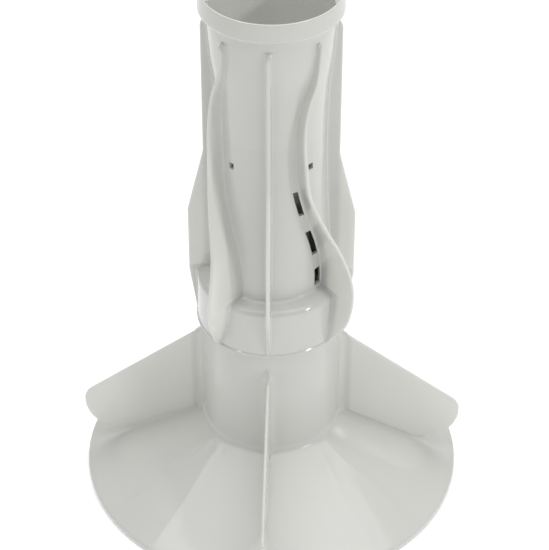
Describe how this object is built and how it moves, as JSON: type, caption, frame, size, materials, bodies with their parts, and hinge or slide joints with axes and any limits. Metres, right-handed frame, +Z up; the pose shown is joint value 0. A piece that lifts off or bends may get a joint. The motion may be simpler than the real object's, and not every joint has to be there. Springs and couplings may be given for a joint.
{
  "type": "washing machine agitator",
  "caption": "Washing machine agitator with a wide conical skirt, thin flexing fins on its column, and a ribbed barrel with S-shaped vanes and an open socketed rim.",
  "frame": {"origin": "centre of the skirt's foot, on the drive axis, in the plane that the skirt stands on", "axes": "+Z up along the drive axis towards the rim; -Y points along the front fin; +X along the right fin"},
  "size_m": [0.332, 0.332, 0.479],
  "materials": {
    "base_plastic": "glossy moulded white polypropylene",
    "barrel_plastic": "glossy moulded white polypropylene",
    "fin_plastic": "glossy moulded white polypropylene, thin enough to flex",
    "sleeve_plastic": "glass-filled dark nylon, as moulded",
    "seal_rubber": "matt black moulded rubber",
    "bolt_steel": "zinc plated steel",
    "cap_plastic": "satin light grey polypropylene"
  },
  "bodies": {
    "base": {"base_moulding": "base_plastic", "barrel": "barrel_plastic", "drive_sleeve": "sleeve_plastic", "shaft_seal": "seal_rubber", "bolt_seal": "seal_rubber", "bolt_washer": "bolt_steel", "drive_bolt": "bolt_steel", "inner_cap": "cap_plastic", "cap_ring": "seal_rubber"},
    "front_fin": {"fin_front": "fin_plastic"},
    "right_fin": {"fin_right": "fin_plastic"},
    "back_fin": {"fin_back": "fin_plastic"},
    "left_fin": {"fin_left": "fin_plastic"}
  },
  "joints": [
    {"name": "front_fin_flex", "type": "hinge", "parent": "base", "child": "front_fin", "pos_m": [0, -0.056, 0.1], "axis": [0, 0, 1], "range_deg": [-8, 8], "stiffness_Nm_per_rad": 3},
    {"name": "right_fin_flex", "type": "hinge", "parent": "base", "child": "right_fin", "pos_m": [0.056, 0, 0.1], "axis": [0, 0, 1], "range_deg": [-8, 8], "stiffness_Nm_per_rad": 3},
    {"name": "back_fin_flex", "type": "hinge", "parent": "base", "child": "back_fin", "pos_m": [0, 0.056, 0.1], "axis": [0, 0, 1], "range_deg": [-8, 8], "stiffness_Nm_per_rad": 3},
    {"name": "left_fin_flex", "type": "hinge", "parent": "base", "child": "left_fin", "pos_m": [-0.056, 0, 0.1], "axis": [0, 0, 1], "range_deg": [-8, 8], "stiffness_Nm_per_rad": 3}
  ]
}
